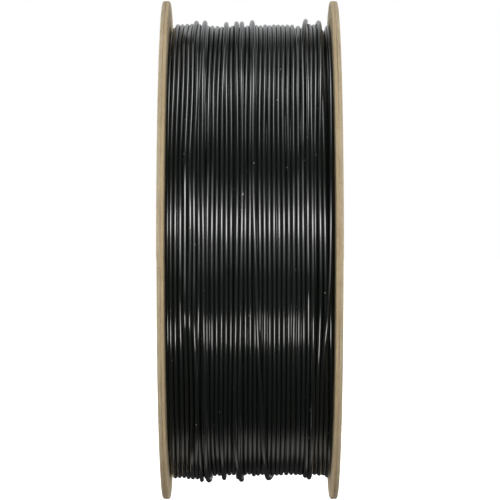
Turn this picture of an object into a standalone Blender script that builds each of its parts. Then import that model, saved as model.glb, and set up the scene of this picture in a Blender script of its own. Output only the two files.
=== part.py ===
"""A cardboard filament spool, wound with 1.75 mm filament.

The spool's axis is X, and the origin is on that axis, midway between the two flanges. Z is up: the
spool is upright on the rims of its flanges. All sizes are in metres, and angles round the axis are
measured from +Y towards +Z.
"""

import math

import bmesh
import bpy
from mathutils import Vector

# The gap that pieces glued or laid face to face keep.
GAP = 0.0003

# Each flange is two plies of board, glued face to face.
FLANGE_RADIUS = 0.100
PLY_THICKNESS = 0.00135
RIM_CHAMFER = 0.00025
BORE_RADIUS = 0.0275
HALF_WIDTH = 0.03485
OUTER_PLY_INSIDE = HALF_WIDTH - PLY_THICKNESS
INNER_PLY_OUTSIDE = OUTER_PLY_INSIDE - GAP
FLANGE_INSIDE = INNER_PLY_OUTSIDE - PLY_THICKNESS

# The tube passes through the inner plies and butts on the outer ones.
TUBE_RADIUS = 0.0555
TUBE_WALL = 0.004
TUBE_HALF_LENGTH = OUTER_PLY_INSIDE - GAP

# The wound filament. Its last layer stops short of the flanges, which leaves a shoulder on each side.
STRAND_RADIUS = 0.000875
WINDING_RADIUS = 0.0915
WINDING_HALF_WIDTH = FLANGE_INSIDE - GAP
SHOULDER_RADIUS = 0.0897
SHOULDER_START = 0.0255
SHOULDER_END = 0.0275

# Holes punched through both plies of a flange.
TIE_HOLE_ANGLES = (20, 110, 200, 290)
TIE_HOLE_PLACE = 0.095
TIE_HOLE_RADIUS = 0.0017
START_HOLE_ANGLE = 155
START_HOLE_PLACE = 0.0580
START_HOLE_RADIUS = 0.0015
WINDOW_ANGLE = 245
WINDOW_HALF_WIDTH = 0.0035
WINDOW_INNER = 0.0685
WINDOW_OUTER = 0.0860

# The strand's free end: (x, distance from the axis, degrees past the tie-off hole it goes through).
END_HOLE_ANGLE = TIE_HOLE_ANGLES[0]
END_ROUTE = (
    (0.0225, 0.0926, -26.0),
    (0.0235, 0.0926, -21.5),
    (0.0246, 0.0926, -17.0),
    (0.0258, 0.0927, -12.5),
    (0.0270, 0.0930, -8.5),
    (0.0281, 0.0936, -5.2),
    (0.0290, 0.0943, -2.8),
    (0.0302, 0.0949, -1.0),
    (0.0317, 0.0950, -0.1),
    (0.0345, 0.0950, 0.0),
    (0.0395, 0.0950, 0.0),
)

# The strand's inner end, given the same way from the start hole, and the notch it takes in the winding.
START_ROUTE = (
    (0.0295, 0.0568, 10.5),
    (0.0295, 0.0568, 7.0),
    (0.0297, 0.0570, 3.8),
    (0.0304, 0.0576, 1.3),
    (0.0317, START_HOLE_PLACE, 0.1),
    (HALF_WIDTH - GAP, START_HOLE_PLACE, 0.0),
)
NOTCH_RUN = (-3.5, 12.5)
NOTCH_DEPTH = 0.0040
NOTCH_HEIGHT = 0.0035

# The paper label on the left flange's outer face.
LABEL_WIDTH = 0.060
LABEL_HEIGHT = 0.040
LABEL_CORNER = 0.004
LABEL_THICKNESS = 0.0002
LABEL_ANGLE = 90
LABEL_PLACE = 0.0630

# How finely round shapes are divided.
TURN_STEPS = 96
HOLE_STEPS = 16
ROUTE_STEPS = 3
STRAND_SMOOTHNESS = 2
SHARP_ANGLE = math.radians(35)

KRAFT = (0.43, 0.34, 0.22)
GREYBOARD = (0.36, 0.30, 0.22)
BLACK = (0.012, 0.012, 0.013)
PAPER = (0.80, 0.79, 0.75)


def clear_scene():
    for item in list(bpy.data.objects):
        bpy.data.objects.remove(item, do_unlink=True)


def material(name, color, roughness):
    made = bpy.data.materials.new(name)
    made.use_nodes = True
    shader = made.node_tree.nodes["Principled BSDF"]
    shader.inputs["Base Color"].default_value = (*color, 1)
    shader.inputs["Roughness"].default_value = roughness
    shader.inputs["Metallic"].default_value = 0
    return made


def round_place(x, radius, degrees):
    """The point at a distance from the axis and an angle round it."""
    turn = math.radians(degrees)
    return Vector((x, radius * math.cos(turn), radius * math.sin(turn)))


def add_mesh(name, bm, finish=None):
    """Turns a bmesh into an object, with its faces pointing out and its round sides smooth."""
    bmesh.ops.recalc_face_normals(bm, faces=bm.faces)
    mesh = bpy.data.meshes.new(name)
    bm.to_mesh(mesh)
    bm.free()
    mesh.shade_smooth()
    mesh.set_sharp_from_angle(angle=SHARP_ANGLE)
    item = bpy.data.objects.new(name, mesh)
    bpy.context.scene.collection.objects.link(item)
    if finish:
        mesh.materials.append(finish)
    return item


def turned(name, profile, finish):
    """Turns a closed outline of (x, radius) points right round the X axis."""
    bm = bmesh.new()
    rings = []
    for step in range(TURN_STEPS):
        degrees = 360 * step / TURN_STEPS
        rings.append([bm.verts.new(round_place(x, radius, degrees)) for x, radius in profile])
    for step, ring in enumerate(rings):
        following = rings[(step + 1) % TURN_STEPS]
        for corner in range(len(profile)):
            after = (corner + 1) % len(profile)
            bm.faces.new((ring[corner], ring[after], following[after], following[corner]))
    return add_mesh(name, bm, finish)


def cut(item, cutter):
    boolean = item.modifiers.new("Cut " + cutter.name, "BOOLEAN")
    boolean.operation = "DIFFERENCE"
    boolean.object = cutter


def as_cutter(item):
    item.hide_render = True
    item.display_type = "WIRE"
    return item


def add_prism(bm, outline, low_x, high_x):
    """Adds a straight-sided solid: an outline of (y, z) points carried from low_x to high_x."""
    low = [bm.verts.new((low_x, y, z)) for y, z in outline]
    high = [bm.verts.new((high_x, y, z)) for y, z in outline]
    bm.faces.new(low)
    bm.faces.new(high)
    for corner in range(len(outline)):
        after = (corner + 1) % len(outline)
        bm.faces.new((low[corner], low[after], high[after], high[corner]))


def circle_outline(place, degrees, radius):
    """A circle's (y, z) points, centred at a distance from the axis and an angle round it."""
    centre = round_place(0, place, degrees)
    points = []
    for step in range(HOLE_STEPS):
        spot = centre + round_place(0, radius, 360 * step / HOLE_STEPS)
        points.append((spot.y, spot.z))
    return points


def window_outline():
    """A radial slot with round ends: two half circles, joined by straight sides."""
    points = []
    ends = ((WINDOW_OUTER, WINDOW_ANGLE - 90), (WINDOW_INNER, WINDOW_ANGLE + 90))
    for place, start in ends:
        centre = round_place(0, place, WINDOW_ANGLE)
        for step in range(HOLE_STEPS // 2 + 1):
            spot = centre + round_place(0, WINDOW_HALF_WIDTH, start + 360 * step / HOLE_STEPS)
            points.append((spot.y, spot.z))
    return points


def flange_punch(name, side, start_hole):
    """The cutter that punches a flange's holes through both plies at once."""
    bm = bmesh.new()
    low, high = sorted((side * (FLANGE_INSIDE - 0.002), side * (HALF_WIDTH + 0.002)))
    for degrees in TIE_HOLE_ANGLES:
        add_prism(bm, circle_outline(TIE_HOLE_PLACE, degrees, TIE_HOLE_RADIUS), low, high)
    if start_hole:
        outline = circle_outline(START_HOLE_PLACE, START_HOLE_ANGLE, START_HOLE_RADIUS)
        add_prism(bm, outline, low, high)
    add_prism(bm, window_outline(), low, high)
    return as_cutter(add_mesh(name, bm))


def board(name, side, inside, outside, hole_radius, finish, punch):
    """One ply of a flange: a flat disc with a hole, and its rim's corners rubbed off."""
    rim = FLANGE_RADIUS - RIM_CHAMFER
    profile = [
        (side * inside, hole_radius),
        (side * inside, rim),
        (side * (inside + RIM_CHAMFER), FLANGE_RADIUS),
        (side * (outside - RIM_CHAMFER), FLANGE_RADIUS),
        (side * outside, rim),
        (side * outside, hole_radius),
    ]
    ply = turned(name, profile, finish)
    cut(ply, punch)


def flange(word, side, start_hole, finish):
    """Two plies of board, the outer one with the bore and the inner one with the tube's seat."""
    punch = flange_punch(word + "_flange_punch", side, start_hole)
    board(word + "_outer_board", side, OUTER_PLY_INSIDE, HALF_WIDTH, BORE_RADIUS, finish, punch)
    seat = TUBE_RADIUS + GAP
    board(word + "_inner_board", side, FLANGE_INSIDE, INNER_PLY_OUTSIDE, seat, finish, punch)


def core_tube(finish):
    inner = TUBE_RADIUS - TUBE_WALL
    profile = [
        (-TUBE_HALF_LENGTH, inner),
        (-TUBE_HALF_LENGTH, TUBE_RADIUS),
        (TUBE_HALF_LENGTH, TUBE_RADIUS),
        (TUBE_HALF_LENGTH, inner),
    ]
    turned("core_tube", profile, finish)


def start_notch():
    """The cutter for the space that the strand's inner end takes at the winding's side."""
    inner = TUBE_RADIUS
    outer = TUBE_RADIUS + GAP + NOTCH_HEIGHT
    outline = []
    for radius, ends in ((inner, NOTCH_RUN), (outer, reversed(NOTCH_RUN))):
        for past_hole in ends:
            spot = round_place(0, radius, START_HOLE_ANGLE + past_hole)
            outline.append((spot.y, spot.z))
    bm = bmesh.new()
    add_prism(bm, outline, WINDING_HALF_WIDTH - NOTCH_DEPTH, WINDING_HALF_WIDTH + 0.002)
    return as_cutter(add_mesh("start_notch", bm))


def filament_winding(finish):
    """All the turns of filament together, as one turned ring."""
    inner = TUBE_RADIUS + GAP
    profile = [
        (-WINDING_HALF_WIDTH, inner),
        (-WINDING_HALF_WIDTH, SHOULDER_RADIUS),
        (-SHOULDER_END, SHOULDER_RADIUS),
        (-SHOULDER_START, WINDING_RADIUS),
        (SHOULDER_START, WINDING_RADIUS),
        (SHOULDER_END, SHOULDER_RADIUS),
        (WINDING_HALF_WIDTH, SHOULDER_RADIUS),
        (WINDING_HALF_WIDTH, inner),
    ]
    winding = turned("filament_winding", profile, finish)
    cut(winding, start_notch())


def smooth_route(points):
    """Points on a Catmull-Rom curve that passes through every point of the route."""
    padded = [2 * points[0] - points[1], *points, 2 * points[-1] - points[-2]]
    smooth = []
    for before, here, there, beyond in zip(padded, padded[1:], padded[2:], padded[3:]):
        for step in range(ROUTE_STEPS):
            t = step / ROUTE_STEPS
            bend = 2 * before - 5 * here + 4 * there - beyond
            twist = 3 * (here - there) + beyond - before
            smooth.append(here + (there - before) * t / 2 + bend * t**2 / 2 + twist * t**3 / 2)
    smooth.append(points[-1])
    return smooth


def strand(name, route, hole_angle, hole_place, finish):
    """A bare length of filament, with its origin on the line through the hole that it goes through."""
    origin = round_place(0, hole_place, hole_angle)
    places = [round_place(x, radius, hole_angle + past) for x, radius, past in route]
    points = smooth_route(places)
    curve = bpy.data.curves.new(name, "CURVE")
    curve.dimensions = "3D"
    curve.bevel_depth = STRAND_RADIUS
    curve.bevel_resolution = STRAND_SMOOTHNESS
    curve.use_fill_caps = True
    spline = curve.splines.new("POLY")
    spline.points.add(len(points) - 1)
    for spot, point in zip(spline.points, points):
        spot.co = (*(point - origin), 1)
    curve.materials.append(finish)
    item = bpy.data.objects.new(name, curve)
    item.location = origin
    bpy.context.scene.collection.objects.link(item)


def spool_label(finish):
    """A flat paper label with round corners, laid on the left flange's outer face."""
    centre = round_place(0, LABEL_PLACE, LABEL_ANGLE)
    across = LABEL_WIDTH / 2 - LABEL_CORNER
    up = LABEL_HEIGHT / 2 - LABEL_CORNER
    outline = []
    for quarter, (y, z) in enumerate(((across, up), (-across, up), (-across, -up), (across, -up))):
        for step in range(HOLE_STEPS // 4 + 1):
            turn = math.radians(90 * quarter + 360 * step / HOLE_STEPS)
            spot_y = centre.y + y + LABEL_CORNER * math.cos(turn)
            spot_z = centre.z + z + LABEL_CORNER * math.sin(turn)
            outline.append((spot_y, spot_z))
    bm = bmesh.new()
    back = -HALF_WIDTH - GAP
    add_prism(bm, outline, back - LABEL_THICKNESS, back)
    add_mesh("spool_label", bm, finish)


clear_scene()
kraft_board = material("kraft_board", KRAFT, 0.85)
grey_board = material("grey_board", GREYBOARD, 0.9)
black_filament = material("black_filament", BLACK, 0.2)
label_paper = material("label_paper", PAPER, 0.6)

flange("left", -1, False, kraft_board)
flange("right", 1, True, kraft_board)
core_tube(grey_board)
filament_winding(black_filament)
strand("filament_start", START_ROUTE, START_HOLE_ANGLE, START_HOLE_PLACE, black_filament)
strand("filament_end", END_ROUTE, END_HOLE_ANGLE, TIE_HOLE_PLACE, black_filament)
spool_label(label_paper)
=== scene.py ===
"""A cardboard filament spool wound with glossy black filament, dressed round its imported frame.

The spool's axis is X and its centre is the origin. Lengths are in metres, and an angle round the axis
is measured from +Y towards +Z. The sections follow the spool as it is made: tube, flanges, filament, the
filament's ends and label, then the floor, lights and camera.
"""

import math

import bpy
import numpy as np
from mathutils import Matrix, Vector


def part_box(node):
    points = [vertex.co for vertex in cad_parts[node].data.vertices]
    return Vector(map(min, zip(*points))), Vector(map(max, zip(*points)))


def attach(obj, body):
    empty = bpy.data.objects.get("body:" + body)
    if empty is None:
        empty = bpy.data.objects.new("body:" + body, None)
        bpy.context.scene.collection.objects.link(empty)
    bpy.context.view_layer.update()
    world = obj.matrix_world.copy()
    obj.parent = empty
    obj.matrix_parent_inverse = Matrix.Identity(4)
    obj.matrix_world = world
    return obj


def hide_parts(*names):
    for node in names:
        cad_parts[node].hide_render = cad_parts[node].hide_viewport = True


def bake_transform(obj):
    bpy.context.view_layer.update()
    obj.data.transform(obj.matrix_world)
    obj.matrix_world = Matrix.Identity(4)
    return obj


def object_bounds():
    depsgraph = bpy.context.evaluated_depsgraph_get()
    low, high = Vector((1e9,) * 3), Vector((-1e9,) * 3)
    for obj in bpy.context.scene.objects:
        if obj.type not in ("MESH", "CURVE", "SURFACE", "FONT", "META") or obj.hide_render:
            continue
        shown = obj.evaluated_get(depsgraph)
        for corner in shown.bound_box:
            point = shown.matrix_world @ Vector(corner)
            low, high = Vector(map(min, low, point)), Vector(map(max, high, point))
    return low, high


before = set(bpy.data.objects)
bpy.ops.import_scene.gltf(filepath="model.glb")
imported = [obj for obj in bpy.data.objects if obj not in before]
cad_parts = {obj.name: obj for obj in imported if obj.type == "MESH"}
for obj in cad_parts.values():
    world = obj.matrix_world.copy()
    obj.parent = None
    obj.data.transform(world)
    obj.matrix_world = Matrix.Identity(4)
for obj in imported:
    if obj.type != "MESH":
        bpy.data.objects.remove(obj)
cad_low, cad_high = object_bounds()


# ---- Core tube -------------------------------------------------------------------------------
# Strips of grey paperboard, glued and wound on a mandrel in a spiral until the wall is 4 mm thick.
# Its ends pass through the flanges' inner plies and are glued to the outer plies.

tube_half_length, tube_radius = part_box("core_tube")[1][0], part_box("core_tube")[1][2]
tube_wall = 0.004
strip_width = 0.062
strip_seam_depth = 0.00018
tube_angles = 240
TURN = 2 * math.pi
sharp_angle = math.radians(40)


def surface(name, points, loops=True):
    """A closed skin over a grid of points, shaped (rows, columns, 3).

    Each quad joins points (i, j), (i, j+1), (i+1, j+1) and (i+1, j). Columns always wrap round. Rows
    wrap round too if loops is true, or else a flat cap closes the first row and the last. The skin is
    turned inside out if the volume that it holds, the sum of a.(b x c)/6 over its triangles, is
    negative.
    """
    rows, columns = points.shape[:2]
    index = np.arange(rows * columns).reshape(rows, columns)
    along = np.roll(index, -1, 0) if loops else index[1:]
    here = index if loops else index[:-1]
    quads = np.stack([here, np.roll(here, -1, 1), np.roll(along, -1, 1), along], -1).reshape(-1, 4)
    flat = points.reshape(-1, 3)
    a, b, c, d = (flat[quads[:, k]] for k in range(4))
    volume = (a * np.cross(b, c)).sum() + (a * np.cross(c, d)).sum()
    caps = [] if loops else [index[0][::-1], index[-1]]
    if volume < 0:
        quads = quads[:, ::-1]
        caps = [cap[::-1] for cap in caps]
    corners = np.concatenate([quads.ravel(), *caps]).astype(np.int32)
    sizes = np.array([4] * len(quads) + [columns] * len(caps))
    mesh = bpy.data.meshes.new(name)
    mesh.vertices.add(len(flat))
    mesh.vertices.foreach_set("co", flat.astype(np.float32).ravel())
    mesh.loops.add(len(corners))
    mesh.loops.foreach_set("vertex_index", corners)
    mesh.polygons.add(len(sizes))
    mesh.polygons.foreach_set("loop_start", (np.cumsum(sizes) - sizes).astype(np.int32))
    mesh.update(calc_edges=True)
    mesh.shade_smooth()
    mesh.set_sharp_from_angle(angle=sharp_angle)
    piece = bpy.data.objects.new(name, mesh)
    bpy.context.scene.collection.objects.link(piece)
    return piece


def turned(name, x, radius, angle):
    """A cross-section carried round the axis: the point (x, radius) at each angle, x and radius being
    arrays of (section points, angles) that may vary with the angle."""
    x, radius = np.broadcast_arrays(x, radius)
    points = np.stack([x, radius * np.cos(angle), radius * np.sin(angle)], -1)
    return surface(name, points)


def mesh_line(start, end, count):
    """count values from start to end, without the end itself, to chain into an outline."""
    return np.linspace(start, end, count, endpoint=False)


tube_angle = np.arange(tube_angles) * TURN / tube_angles
bore_line = mesh_line(-tube_half_length, tube_half_length, 160)
outer_line = mesh_line(tube_half_length, -tube_half_length, 12)
section_x = np.concatenate([bore_line, outer_line])[:, None]
inside = np.concatenate([np.ones(len(bore_line)), np.zeros(len(outer_line))])[:, None]
# A strip's two edges meet along a helix that climbs strip_width per turn, as a shallow dip.
climb = (section_x / strip_width - tube_angle / TURN + 0.5) % 1 - 0.5
seam = np.exp(-((climb * strip_width / 0.0007) ** 2))
section_radius = tube_radius - inside * (tube_wall - strip_seam_depth * seam)
tube = turned("spiral_wound_tube", section_x, section_radius, tube_angle)
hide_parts("core_tube")
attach(tube, "spool")


class Nodes:
    """A node tree, built one node at a time: calling it with a node's type, its settings and its
    inputs gives the node, and an input may be a value or another node's output."""

    def __init__(self, tree):
        self.tree = tree

    def __call__(self, kind, inputs=(), **settings):
        node = self.tree.nodes.new("ShaderNode" + kind)
        for key, value in settings.items():
            setattr(node, key, value)
        for socket, value in dict(inputs).items():
            self.feed(node.inputs[socket], value)
        return node

    def feed(self, socket, value):
        if isinstance(value, bpy.types.NodeSocket):
            self.tree.links.new(value, socket)
        else:
            socket.default_value = value

    def math(self, operation, a, b=0.0):
        return self("Math", {0: a, 1: b}, operation=operation).outputs[0]

    def place(self, stretch):
        """The object's own coordinates, in metres, times a stretch along each axis."""
        spot = self("TexCoord").outputs["Object"]
        return self("Mapping", {"Vector": spot, "Scale": stretch}).outputs[0]

    def noise(self, stretch, detail=3.0, rough=0.55):
        """Soft noise, from 0 to 1, with stretch grains to the metre along each axis."""
        inputs = {"Vector": self.place(stretch), "Scale": 1.0, "Detail": detail, "Roughness": rough}
        return self("TexNoise", inputs).outputs[0]

    def spread(self, value, low, high, to_low=0.0, to_high=1.0):
        """Takes low to to_low and high to to_high, and holds the result between those two."""
        inputs = {0: value, 1: low, 2: high, 3: to_low, 4: to_high}
        return self("MapRange", inputs, interpolation_type="SMOOTHSTEP").outputs[0]

    def mix(self, factor, a, b, blend="MIX"):
        inputs = {0: factor, 6: a, 7: b}
        return self("Mix", inputs, data_type="RGBA", blend_type=blend).outputs[2]

    def bump(self, height, strength, distance):
        inputs = {"Height": height, "Strength": strength, "Distance": distance}
        return self("Bump", inputs).outputs[0]


class Finish(Nodes):
    """A material's nodes, with its main shader."""

    def __init__(self, name):
        self.made = bpy.data.materials.new(name)
        self.made.use_nodes = True
        super().__init__(self.made.node_tree)
        self.shader = self.tree.nodes["Principled BSDF"]

    def shade(self, **inputs):
        for socket, value in inputs.items():
            self.feed(self.shader.inputs[socket.replace("_", " ").title().replace("Ior", "IOR")], value)


def paperboard(name, shade_light, shade_dark, fleck):
    """Board made from pulp: two shades clouded into each other, short fibres, and dark flecks."""
    finish = Finish(name)
    clouds = finish.noise((90, 90, 90), 2.0)
    grain = finish.noise((2600, 2600, 2600), 2.0, 0.7)
    fibres = finish.noise((900, 260, 260), 4.0, 0.65)
    tone = finish.math("ADD", finish.math("MULTIPLY", clouds, 0.3), finish.math("MULTIPLY", grain, 0.4))
    tone = finish.math("ADD", tone, finish.math("MULTIPLY", fibres, 0.3))
    color = finish.mix(finish.spread(tone, 0.36, 0.64), (*shade_dark, 1), (*shade_light, 1))
    flecks = finish.spread(finish.noise((1400, 1400, 1400), 1.0), 0.68, 0.74)
    color = finish.mix(finish.math("MULTIPLY", flecks, 0.55), color, (*fleck, 1))
    height = finish.math("ADD", finish.math("MULTIPLY", grain, 0.5), fibres)
    finish.shade(base_color=color, roughness=0.88, normal=finish.bump(height, 0.35, 0.0002))
    finish.shader.inputs["Specular IOR Level"].default_value = 0.25
    return finish


grey_board = paperboard("grey_paperboard", (0.36, 0.31, 0.24), (0.25, 0.21, 0.155), (0.10, 0.08, 0.055))
tube.data.materials.append(grey_board.made)


# ---- Flanges ---------------------------------------------------------------------------------
# Each flange is two discs of kraft board glued face to face. The die that cuts them also punches
# four tie-off holes near the rim and a sight window, and a start hole in the right flange.

flange_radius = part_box("right_outer_board")[1][2]
half_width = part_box("right_outer_board")[1][0]
flange_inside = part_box("right_inner_board")[0][0]
flange_middle = (half_width + flange_inside) / 2
bore_radius = 0.0275
seat_radius = tube_radius + 0.0003
glue_line = 0.00007
board_angles = 480
rim_round = (0.00050, 0.00080)
worn_round = (0.00065, 0.00130)
seam_round = (0.00008, 0.00008)
hole_round = 0.00015

tie_hole_angles = np.radians([20, 110, 200, 290])
tie_hole_place, tie_hole_radius = 0.095, 0.0017
start_hole_angle, start_hole_place, start_hole_radius = math.radians(155), 0.0580, 0.0015
window_angle, window_half_width, window_inner, window_outer = math.radians(245), 0.0035, 0.0685, 0.0860


def corner(x, radius, size_x, size_r, start, count=5):
    """A quarter round: points at x + size_x * cos, radius + size_r * sin, from start on a quarter."""
    turn = start + np.linspace(0, math.pi / 2, count)
    return x + size_x * np.cos(turn), radius + size_r * np.sin(turn)


def waves(angle, rng, lowest, highest, size):
    """A smooth closed wave round the rim: a sum of cosines with random phases, fading as they rise."""
    order = np.arange(lowest, highest)[:, None]
    phase = rng.uniform(0, TURN, order.shape)
    weight = rng.normal(0, 1, order.shape) / np.sqrt(highest - lowest)
    return size * (weight * np.cos(order * angle + phase)).sum(0)


def board(name, node, side, low, high, hole_radius, low_round, high_round, seed):
    """One ply as a cross-section carried round: its two faces are rows of rings, its rim has round
    corners and is a little uneven where the die crushed it, and side mirrors it to its flange."""
    rng = np.random.default_rng(seed)
    angle = np.arange(board_angles) * TURN / board_angles
    low_rings = np.linspace(hole_radius + hole_round, flange_radius - low_round[1], 14)[:-1]
    high_rings = np.linspace(hole_radius + hole_round, flange_radius - high_round[1], 14)[:-1]
    low_corner = corner(low + low_round[0], flange_radius - low_round[1], -low_round[0], low_round[1], 0)
    high_corner = corner(high - high_round[0], flange_radius - high_round[1], *high_round, 0)
    rim_x = mesh_line(low + low_round[0], high - high_round[0], 6)[1:]
    section_x = np.concatenate(
        [
            np.full(len(low_rings), low),
            low_corner[0],
            rim_x,
            high_corner[0][::-1],
            np.full(len(high_rings), high),
            [high - hole_round, low + hole_round],
        ]
    )
    section_radius = np.concatenate(
        [
            low_rings,
            low_corner[1],
            np.full(len(rim_x), flange_radius),
            high_corner[1][::-1],
            high_rings[::-1],
            [hole_radius, hole_radius],
        ]
    )
    rim = np.clip((section_radius - flange_radius + 0.0008) / 0.0008, 0, 1)[:, None]
    crush = np.abs(waves(angle, rng, 3, 40, 0.00006)) + np.abs(waves(angle, rng, 40, 200, 0.00004))
    fuzz = rng.uniform(0, 0.00003, (len(section_x), board_angles))
    radius = section_radius[:, None] - rim * (crush + fuzz)
    x = section_x[:, None] + rim * waves(angle, rng, 2, 30, 0.00004)
    x = np.clip(x, -half_width, half_width)
    ply = turned(name, side * x, radius, angle)
    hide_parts(node)
    return ply


def punch_pin(name, outline, low, high):
    """A straight pin with the outline of (y, z) points, from low to high along the axis."""
    ends = [np.column_stack([np.full(len(outline), x), outline]) for x in (low, high)]
    return surface(name, np.stack(ends), loops=False)


def round_hole(place, angle, radius):
    """A circle of (y, z) points, whose centre is at the given distance from the axis and angle."""
    turn = np.arange(32) * TURN / 32
    centre = place * np.array([math.cos(angle), math.sin(angle)])
    return centre + radius * np.column_stack([np.cos(turn), np.sin(turn)])


def window_outline():
    """Two half circles on the window's centre line, which the straight sides join."""
    turn = np.linspace(-math.pi / 2, math.pi / 2, 17)
    end = window_half_width * np.column_stack([np.cos(turn), np.sin(turn)])
    outline = np.concatenate([end + [window_outer, 0], -end + [window_inner, 0]])
    cos, sin = math.cos(window_angle), math.sin(window_angle)
    return outline @ np.array([[cos, sin], [-sin, cos]])


def punch(plies, side, outlines):
    """Cuts every outline through both plies, and removes the pins that cut them."""
    low, high = sorted((side * (flange_inside - 0.002), side * (half_width + 0.002)))
    pins = [punch_pin(f"pin_{k}", outline, low, high) for k, outline in enumerate(outlines)]
    for ply in plies:
        for pin in pins:
            cut = ply.modifiers.new(pin.name, "BOOLEAN")
            cut.object = pin
        shown = ply.evaluated_get(bpy.context.evaluated_depsgraph_get())
        cut_mesh = bpy.data.meshes.new_from_object(shown)
        ply.modifiers.clear()
        ply.data = cut_mesh
        cut_mesh.shade_smooth()
        cut_mesh.set_sharp_from_angle(angle=sharp_angle)
    for pin in pins:
        bpy.data.objects.remove(pin, do_unlink=True)


def kraft_board():
    """Kraft board: as paperboard, with the rim's cut edge drawn out in thin layers round the disc.
    At the rim the outer plies are a little greyer than the inner ones, and the seam is darker."""
    finish = paperboard("kraft_board", (0.262, 0.209, 0.132), (0.204, 0.158, 0.094), (0.09, 0.057, 0.028))
    shaded = finish.shader.inputs["Base Color"].links[0].from_socket
    normal = finish("NewGeometry").outputs["Normal"]
    facing = finish.math("ABSOLUTE", finish("SeparateXYZ", {0: normal}).outputs[0])
    on_rim = finish.spread(facing, 0.35, 0.8, 1.0, 0.0)
    spot = finish("SeparateXYZ", {0: finish("TexCoord").outputs["Object"]}).outputs
    from_middle = finish.math("SUBTRACT", finish.math("ABSOLUTE", spot[0]), flange_middle)
    layers = finish.noise((3200, 650, 650), 3.0, 0.7)
    layered = finish.mix(finish.spread(layers, 0.3, 0.7), (0.96, 0.955, 0.94, 1), (1.05, 1.05, 1.045, 1))
    inner_tone, outer_tone = (1.00, 0.955, 0.90, 1), (0.98, 1.01, 1.10, 1)
    plies = finish.mix(finish.spread(from_middle, -0.0002, 0.0003), inner_tone, outer_tone)
    seam_line = finish.spread(finish.math("ABSOLUTE", from_middle), 0.0, 0.00022, 0.97, 1.0)
    rim_tone = finish.mix(1.0, layered, plies, "MULTIPLY")
    seam_shade = finish("CombineXYZ", {0: seam_line, 1: seam_line, 2: seam_line}).outputs[0]
    rim_tone = finish.mix(1.0, rim_tone, seam_shade, "MULTIPLY")
    toned = finish.mix(1.0, shaded, rim_tone, "MULTIPLY")
    finish.shade(base_color=finish.mix(on_rim, shaded, toned))
    return finish.made


kraft = kraft_board()
hole_outlines = [round_hole(tie_hole_place, angle, tie_hole_radius) for angle in tie_hole_angles]
hole_outlines.append(window_outline())
start_outline = round_hole(start_hole_place, start_hole_angle, start_hole_radius)
flange_seed = 11
for word, side in (("left", -1), ("right", 1)):
    outer = board(word + "_flange_outer_ply", word + "_outer_board", side, flange_middle + glue_line / 2,
                  half_width, bore_radius, seam_round, rim_round, flange_seed)
    inner = board(word + "_flange_inner_ply", word + "_inner_board", side, flange_inside,
                  flange_middle - glue_line / 2, seat_radius, worn_round, seam_round, flange_seed + 1)
    punch((outer, inner), side, hole_outlines + [start_outline] * (side > 0))
    for ply in (outer, inner):
        ply.data.materials.clear()
        ply.data.materials.append(kraft)
        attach(ply, "spool")
    flange_seed += 2


# ---- Filament --------------------------------------------------------------------------------
# One strand of black 1.75 mm filament, wound on the tube in layers that go from flange to flange
# and back. The machine's guide wanders a little, so turns slip into or ride over those below.

strand_radius = 0.000875
layer_count = 21
pitch = 0.00176
angle_steps = 144
first_step = round((start_hole_angle + math.radians(10.5)) / TURN * angle_steps)
first_x = 0.0295
edge = flange_inside - strand_radius - 0.00002
overrun, last_layer_short, last_layers_play = 0.0004, 0.0016, 2.6
turns_per_layer = 2 * edge / pitch
turns_begun = (edge + overrun - first_x) / pitch - first_step / angle_steps
main_turns = int(layer_count * turns_per_layer - turns_begun)

# After the last layer, the last three turns cross loosely over the others, from the left flange to
# the tie-off hole in the right one: (turns since the last layer, x).
loose_route = ((0.0, -0.0270), (0.12, -0.0225), (0.25, -0.0180), (0.5, -0.0176), (0.75, -0.0174),
               (1.0, -0.0112), (1.25, -0.0050), (1.5, -0.0047), (1.75, -0.0045), (2.0, -0.0018),
               (2.25, 0.0009), (2.5, 0.0016), (2.75, 0.0072), (2.983, 0.0225))


def wander(turn, rng):
    """The guide's play: three soft random waves, of 3, 0.8 and 0.25 turns, added up."""
    total = np.zeros_like(turn)
    for length, size in ((3.0, 0.00020), (0.8, 0.00013), (0.25, 0.00006)):
        knots = rng.normal(0, size, int(turn[-1] / length) + 4)
        whole = (turn / length).astype(int)
        part = turn / length - whole
        part = part * part * (3 - 2 * part)
        total += knots[whole] * (1 - part) + knots[whole + 1] * part
    return total


def guide_route(rng):
    """Where the guide is at each step: back and forth from flange to flange, less far in the last
    layer, with its wander, which is larger in the last layers, and then along the loose turns."""
    turns = np.arange((main_turns + 1) * angle_steps) / angle_steps
    sweep = 2 * np.abs(((turns + turns_begun) / turns_per_layer) % 2 - 1) - 1
    reach = np.where(turns > (layer_count - 1) * turns_per_layer, edge - last_layer_short, edge + overrun)
    play = np.where(turns > (layer_count - 1.3) * turns_per_layer, last_layers_play, 1.0)
    swept = sweep * reach + play * wander(turns, rng)
    swept = swept[: main_turns * angle_steps]
    since, x = np.array(loose_route).T
    loose_turns = np.arange(int(since[-1] * angle_steps) + angle_steps) / angle_steps
    return np.clip(np.concatenate([swept, np.interp(loose_turns, since, x)]), -edge, edge)


def blur(values, before):
    """Evens out a row of values with the weights 1, 4, 6, 4, 1, led by the two values before it."""
    row = np.concatenate([before, values, values[-1:], values[-1:]])
    return np.convolve(row, np.array([1, 4, 6, 4, 1]) / 16, "valid")


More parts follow.
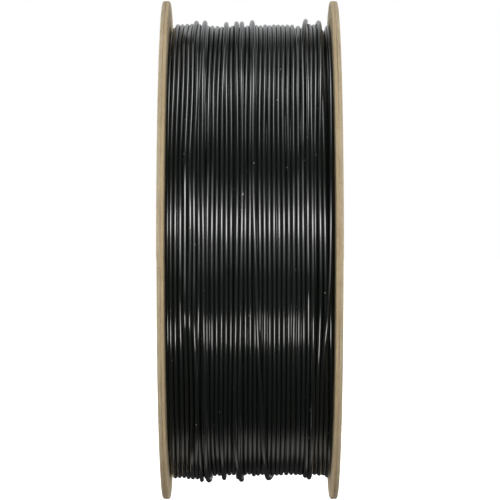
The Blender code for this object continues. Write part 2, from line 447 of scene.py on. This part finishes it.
def lay_strand(rng, rounds=26):
    """Lays the strand turn by turn, and gives its x and its distance from the axis at each step.

    At a place x, a strand that rests on one at x0 and distance r0 has the distance
    r0 + sqrt((2a)^2 - (x - x0)^2), a being the strand's radius, and it rests on the highest of those
    below. Each turn starts under the guide and rolls downhill along that height, a little more in
    each round, while its own stiffness evens it out. Then it is pulled taut: no point is nearer the
    axis than the straight line between its neighbours.
    """
    guide = guide_route(rng)
    turns = -(-len(guide) // angle_steps) - 1
    window = angle_steps + angle_steps // 4
    guide = np.concatenate([guide, np.full(2 * window, guide[-1])])
    step = np.arange(window)
    around = step % angle_steps
    bare = tube_radius + strand_radius
    laid_x, laid_r = np.zeros((turns, angle_steps)), np.zeros((turns, angle_steps))
    lowest, highest = np.zeros(turns), np.zeros(turns)
    last_x, last_r = np.full(2, guide[0]), np.full(2, bare)
    chord = math.cos(TURN / angle_steps)
    for turn in range(turns):
        led = guide[turn * angle_steps : turn * angle_steps + window]
        older = np.arange(max(0, turn - int(2.4 * turns_per_layer)), turn)
        near = (lowest[older] < led.max() + 0.0045) & (highest[older] > led.min() - 0.0045)
        below_x, below_r = laid_x[older[near]][:, around], laid_r[older[near]][:, around]
        x = led.copy()
        for each in range(rounds + 1):
            if len(below_x):
                apart = x - below_x
                rest = 4 * strand_radius**2 - apart**2
                height = np.where(rest > 0, below_r + np.sqrt(np.maximum(rest, 0)), 0)
                top = height.argmax(0)
                gap = apart[top, step]
                radius = np.maximum(height[top, step], bare)
                fall = np.sqrt(np.maximum(4 * strand_radius**2 - gap**2, 1e-8))
                slope = np.where(radius > bare, -gap / fall, 0)
            else:
                radius, slope = np.full(window, bare), np.zeros(window)
            if each == rounds:
                break
            proud = np.clip((radius - radius.mean()) / strand_radius, 0, 2)
            roll = (0.00009 * (1 - each / rounds) + 0.000012) * (1 + proud)
            x = x - roll * np.clip(slope, -2.5, 2.5) + 0.02 * (led - x)
            x = np.clip(blur(blur(x, last_x), last_x), -edge, edge)
        for _ in range(16):
            row = np.concatenate([last_r[-1:], radius, radius[-1:]])
            radius = np.maximum(radius, 2 * row[:-2] * row[2:] / (row[:-2] + row[2:]) * chord)
        for _ in range(2):
            radius = blur(radius, last_r)
        laid_x[turn], laid_r[turn] = x[:angle_steps], radius[:angle_steps]
        lowest[turn], highest[turn] = laid_x[turn].min(), laid_x[turn].max()
        last_x, last_r = laid_x[turn, -2:], laid_r[turn, -2:]
    return laid_x.ravel(), laid_r.ravel()


def strand_mesh(name, x, radius, angle, sides):
    """A round strand along the path (x, radius, angle): at each point a circle of the given number
    of sides, in the plane square to the path. Its UV map holds the length along the strand, in
    metres, and the share of the way round it."""
    out = np.stack([np.zeros_like(angle), np.cos(angle), np.sin(angle)], -1)
    path = out * radius[:, None]
    path[:, 0] = x
    forward = np.gradient(path, axis=0)
    forward /= np.linalg.norm(forward, axis=1, keepdims=True)
    up = out - forward * (out * forward).sum(1, keepdims=True)
    up /= np.linalg.norm(up, axis=1, keepdims=True)
    across = np.cross(forward, up)
    share = np.arange(sides) / sides
    turn = share * TURN
    ring = up[:, None] * np.cos(turn)[:, None] + across[:, None] * np.sin(turn)[:, None]
    piece = surface(name, path[:, None] + strand_radius * ring, loops=False)
    along = np.concatenate([[0], np.cumsum(np.linalg.norm(np.diff(path, axis=0), axis=1))])
    spot = np.empty(len(piece.data.loops), np.int32)
    piece.data.loops.foreach_get("vertex_index", spot)
    flat = np.stack([along[spot // sides], share[spot % sides]], -1)
    piece.data.uv_layers.new(name="along_strand").data.foreach_set("uv", flat.astype(np.float32).ravel())
    piece.data.materials.append(black_filament)
    return piece


def filament_finish():
    """Glossy black plastic, with a slightly uneven gloss along the strand and a few dust specks."""
    finish = Finish("black_filament")
    strand_uv = finish("UVMap", uv_map="along_strand").outputs[0]
    streaks = finish("Mapping", {"Vector": strand_uv, "Scale": (60, 5, 1)}).outputs[0]
    noise = finish("TexNoise", {"Vector": streaks, "Scale": 1.0, "Detail": 3.0}).outputs[0]
    gloss = finish.spread(noise, 0.3, 0.7, 0.11, 0.17)
    dust = finish.spread(finish.noise((900, 900, 900), 0.0), 0.866, 0.884)
    finish.shade(
        base_color=finish.mix(dust, (0.0038, 0.0047, 0.0042, 1), (0.16, 0.15, 0.13, 1)),
        roughness=finish.math("MAXIMUM", gloss, finish.math("MULTIPLY", dust, 0.7)),
        ior=1.52,
    )
    return finish.made


def cubic(before, here, there, beyond, t):
    """A cubic from here to there in the share t of the way, with the slopes of its neighbours."""
    bend = 2 * before - 5 * here + 4 * there - beyond
    twist = 3 * (here - there) + beyond - before
    return here + ((there - before) * t + bend * t**2 + twist * t**3) / 2


def resampled(values, low, high, steps_per_turn):
    """The values from step low to step high, at evenly spaced places on cubics through them, and the
    steps of those places."""
    count = max(2, round((high - low) / angle_steps * steps_per_turn) + 1)
    at = np.linspace(low, high, count)
    whole = np.clip(at.astype(int), 1, len(values) - 3)
    t = at - whole
    return cubic(*(values[whole + k] for k in (-1, 0, 1, 2)), t), at


def wind(name, low, high, steps_per_turn, sides):
    """The strand from step low to step high of the winding, as one piece."""
    x, at = resampled(wound_x, low, high, steps_per_turn)
    radius, _ = resampled(wound_r, low, high, steps_per_turn)
    piece = strand_mesh(name, x, radius, at * TURN / angle_steps, sides)
    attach(piece, "spool")
    return piece


black_filament = filament_finish()
winding_seed = 21
wound_x, wound_r = lay_strand(np.random.default_rng(winding_seed))

# The last loose turn settles into the line that the free end leaves along: at leave_x and
# leave_radius, six degrees before the top of the turn, with the slope leave_slope.
leave_angle, leave_x, leave_radius, leave_slope = math.radians(354), 0.0225, 0.0926, 0.1375
end_step = (len(wound_x) // angle_steps - 1) * angle_steps + leave_angle / TURN * angle_steps
left = (end_step - np.arange(len(wound_x))) / angle_steps * TURN
share = np.clip((math.radians(62) - left) / math.radians(56), 0, 1)
share = share * share * (3 - 2 * share)
wound_x += share * (leave_x - leave_slope * leave_radius * left - wound_x)
wound_r += share * (leave_radius - wound_r)

# Inner turns are out of sight, so their strand has fewer sides. The last two layers have the most.
inner_end = int((layer_count - 4) * turns_per_layer) * angle_steps
middle_end = int((layer_count - 2.2) * turns_per_layer) * angle_steps
inner_cuts = np.linspace(first_step, inner_end, 5)
outer_cuts = np.linspace(middle_end, end_step, 4)
spans = [(*cut, 60, 6) for cut in zip(inner_cuts, inner_cuts[1:])]
spans += [(inner_end, middle_end, 120, 8)]
spans += [(*cut, 216, 12) for cut in zip(outer_cuts, outer_cuts[1:])]
turn_groups = [wind(f"wound_filament_{k + 1}", *span) for k, span in enumerate(spans)]
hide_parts("filament_winding")


# ---- Ends of the filament --------------------------------------------------------------------
# The strand's first end is bent out through the start hole in the right flange, beside the tube.
# Its last end is bent out through a tie-off hole near the rim, and grips there by its own spring.

def bent_strand(name, route, hole_angle, steps=10, sides=16):
    """A strand along a smooth curve through the route's places, each (x, distance from the axis,
    degrees past the hole). Between two places the curve is a cubic in the share of the way."""
    x, radius, degrees = np.array(route).T
    angle = hole_angle + np.radians(degrees)
    places = np.stack([x, radius * np.cos(angle), radius * np.sin(angle)], -1)
    led = np.concatenate([2 * places[:1] - places[1:2], places, 2 * places[-1:] - places[-2:-1]])
    t = (np.arange(steps) / steps)[:, None]
    path = cubic(*(led[k : len(led) - 3 + k, None] for k in range(4)), t).reshape(-1, 3)
    path = np.concatenate([path, places[-1:]])
    around = np.unwrap(np.arctan2(path[:, 2], path[:, 1]))
    distance = np.hypot(path[:, 1], path[:, 2])
    return strand_mesh(name, path[:, 0], distance, around, sides), path


bare_radius = tube_radius + strand_radius
start_route = ((first_x, bare_radius, 10.5), (first_x, bare_radius + 0.0001, 7),
               (0.0297, 0.0567, 3.8), (0.0304, 0.0573, 1.3), (0.0317, start_hole_place, 0.1),
               (half_width - 0.0003, start_hole_place, 0))
start_piece, _ = bent_strand("filament_first_end", start_route, start_hole_angle)
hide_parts("filament_start")
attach(start_piece, "spool")

end_route = ((leave_x, leave_radius, -26), (0.0235, leave_radius, -21.5), (0.0246, leave_radius, -17),
             (0.0258, 0.0927, -12.5), (0.0270, 0.0930, -8.5), (0.0281, 0.0936, -5.2),
             (0.0290, 0.0943, -2.8), (0.0302, 0.0949, -1), (0.0317, tie_hole_place, -0.1),
             (0.0345, tie_hole_place, 0), (0.0395, tie_hole_place, 0))
free_end, end_path = bent_strand("filament_free_end", end_route, tie_hole_angles[0])
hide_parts("filament_end")
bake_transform(free_end)


# ---- Label -----------------------------------------------------------------------------------
# A plain paper label, glued on the left flange's outer face above the hub. It is printed with two
# bands, a swatch of the filament's shade and empty boxes, and it has no lettering.

label_low, label_high = (np.array(spot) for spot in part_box("spool_label"))
label_corner = 0.004
label_middle = (label_low + label_high) / 2
label_half = (label_high - label_low) / 2


def label_mesh(name, rings=7):
    """A slab with round corners: rings of one outline, scaled towards the middle, for each face."""
    turn = np.linspace(0, math.pi / 2, 6)
    outline = []
    for quarter, (y, z) in enumerate(((1, 1), (-1, 1), (-1, -1), (1, -1))):
        arc = turn + quarter * math.pi / 2
        centre_y, centre_z = y * (label_half[1] - label_corner), z * (label_half[2] - label_corner)
        outline.append(np.column_stack([centre_y + label_corner * np.cos(arc),
                                        centre_z + label_corner * np.sin(arc)]))
    outline = np.concatenate(outline)
    scale = np.linspace(0.05, 1, rings)
    face = np.concatenate([scale, scale[::-1]])
    x = np.repeat([label_low[0], label_high[0]], rings)
    points = np.empty((2 * rings, len(outline), 3))
    points[:, :, 0] = x[:, None]
    points[:, :, 1:] = label_middle[1:] + face[:, None, None] * outline
    return surface(name, points, loops=False)


def label_finish():
    """White paper with faint grain, and flat boxes of colour printed on it."""
    finish = Finish("label_paper")
    spot = finish("TexCoord").outputs["Object"]
    where = finish("SeparateXYZ", {0: spot}).outputs
    y, z = where[1], where[2]

    def box_mask(low_y, high_y, low_z, high_z):
        """1 inside the box, whose sides are metres from the label's middle, and 0 outside."""
        inside = None
        for value, low, high in ((y, low_y + label_middle[1], high_y + label_middle[1]),
                                 (z, low_z + label_middle[2], high_z + label_middle[2])):
            above = finish.math("GREATER_THAN", value, low)
            under = finish.math("LESS_THAN", value, high)
            both = finish.math("MULTIPLY", above, under)
            inside = both if inside is None else finish.math("MULTIPLY", inside, both)
        return inside

    grain = finish.noise((1500, 1500, 1500), 2.0)
    color = finish.mix(grain, (0.70, 0.69, 0.66, 1), (0.78, 0.77, 0.74, 1))
    marks = (
        ((-0.030, 0.030, 0.0135, 0.020), (0.045, 0.12, 0.13, 1)),
        ((-0.030, 0.030, 0.0115, 0.0127), (0.35, 0.16, 0.03, 1)),
        ((0.012, 0.025, -0.005, 0.008), (0.012, 0.012, 0.013, 1)),
        ((-0.026, 0.006, 0.0035, 0.0039), (0.12, 0.12, 0.12, 1)),
        ((-0.026, 0.006, -0.0025, -0.0021), (0.12, 0.12, 0.12, 1)),
        ((-0.026, 0.006, -0.0085, -0.0081), (0.12, 0.12, 0.12, 1)),
        ((-0.026, 0.025, -0.0145, -0.0141), (0.12, 0.12, 0.12, 1)),
    )
    for sides, shade in marks:
        color = finish.mix(box_mask(*sides), color, shade)
    finish.shade(base_color=color, roughness=0.55, normal=finish.bump(grain, 0.15, 0.0001))
    return finish.made


label = label_mesh("paper_label")
label.data.materials.append(label_finish())
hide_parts("spool_label")
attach(label, "spool")


# ---- Floor, lights and camera ----------------------------------------------------------------
# The spool stands on a plain white floor that takes no shadow. All the light is the world's: a table
# of soft lamps by direction, which light the spool and show in its gloss. The camera sees white.

floor_mesh = bpy.data.meshes.new("floor")
floor_reach = 30.0
level = cad_low[2] - 0.0002
floor_mesh.from_pydata(
    [(x * floor_reach, y * floor_reach, level) for x, y in ((-1, -1), (1, -1), (1, 1), (-1, 1))],
    [], [(0, 1, 2, 3)])
floor = bpy.data.objects.new("floor", floor_mesh)
bpy.context.scene.collection.objects.link(floor)
for rays in ("visible_glossy", "visible_diffuse", "visible_shadow"):
    setattr(floor, rays, False)
floor_finish = Finish("floor")
floor_finish.shade(base_color=(0.5, 0.5, 0.5, 1), roughness=0.9,
                   emission_color=(1, 1, 1, 1), emission_strength=1.0)
floor_mesh.materials.append(floor_finish.made)

world = bpy.data.worlds.new("studio")
bpy.context.scene.world = world
world.use_nodes = True
studio = Nodes(world.node_tree)
toward = studio("SeparateXYZ", {0: studio("TexCoord").outputs["Generated"]}).outputs
level_way = studio.math("MULTIPLY", toward[1], -1)
elevation = studio.math("MULTIPLY", studio.math("ARCTAN2", toward[2], level_way), 360 / TURN)
sideways = studio.math("ABSOLUTE", toward[0])

# Each lamp: its lower and upper elevation in degrees, 0 being level towards the camera, 90 overhead
# and 180 level behind the spool, how soft these edges are, its nearer and farther side as shares of
# the distance, and its brightness and tint.
lamps = (
    (6.5, 18.5, 4, -1, 0.43, 12.5, (1.0, 1.0, 1.0)),
    (-0.5, 26.5, 6, -1, 0.50, 2.45, (1.0, 1.0, 1.0)),
    (-11, 34, 6, -1, 0.66, 1.15, (0.97, 1.0, 1.0)),
    (78, 97, 8, -1, 0.15, 6.5, (0.96, 0.985, 1.0)),
    (62, 103, 9, -1, 0.17, 4.1, (0.96, 0.985, 1.0)),
    (54, 118, 9, -1, 0.24, 1.5, (0.96, 0.985, 1.0)),
    (142, 200, 12, -1, 0.90, 0.5, (0.96, 0.98, 1.0)),
    (104, 200, 12, -1, 0.60, 0.1, (0.98, 0.99, 1.0)),
    (-47.5, -35.5, 3, -1, 0.18, 19.0, (1.0, 0.985, 0.95)),
    (-132, -112, 8, -1, 0.46, 0.6, (1.0, 0.98, 0.93)),
    (-65, 75, 15, -1, 1.20, 0.12, (0.97, 1.0, 1.0)),
    (-200, 200, 15, -1, 1.20, 0.04, (1.0, 1.0, 1.0)),
    (116, 200, 12, 0.64, 1.20, 6.6, (0.94, 0.97, 1.0)),
    (-200, -138, 10, 0.66, 1.20, 12.5, (1.0, 0.99, 0.97)),
    (-142, -100, 10, 0.86, 1.20, 4.0, (1.0, 0.99, 0.97)),
)
glow = (0, 0, 0)
for low_edge, high_edge, soft, side_from, side_to, bright, tint in lamps:
    over = studio.spread(elevation, low_edge - soft, low_edge + soft)
    under = studio.spread(elevation, high_edge - soft, high_edge + soft, 1.0, 0.0)
    beside = studio.spread(sideways, side_from - 0.06, side_from + 0.06)
    within = studio.spread(sideways, side_to - 0.06, side_to + 0.06, bright, 0.0)
    height_share = studio.math("MULTIPLY", over, under)
    amount = studio.math("MULTIPLY", height_share, studio.math("MULTIPLY", beside, within))
    lit = studio("VectorMath", {0: tint, "Scale": amount}, operation="SCALE").outputs[0]
    glow = studio("VectorMath", {0: glow, 1: lit}, operation="ADD").outputs[0]
seen = studio("LightPath").outputs["Is Camera Ray"]
studio.feed(studio.tree.nodes["Background"].inputs["Color"], studio.mix(seen, glow, (1, 1, 1, 1)))

camera_data = bpy.data.cameras.new("camera")
camera = bpy.data.objects.new("camera", camera_data)
bpy.context.scene.collection.objects.link(camera)
bpy.context.scene.camera = camera
camera_data.sensor_width = 36
camera_data.lens = 223.4
camera_distance = 1.25
camera.location = (0, -camera_distance, 0)
camera.rotation_euler = (math.pi / 2, 0, 0)
camera_data.clip_end = 100
bpy.context.scene.view_settings.view_transform = "Standard"
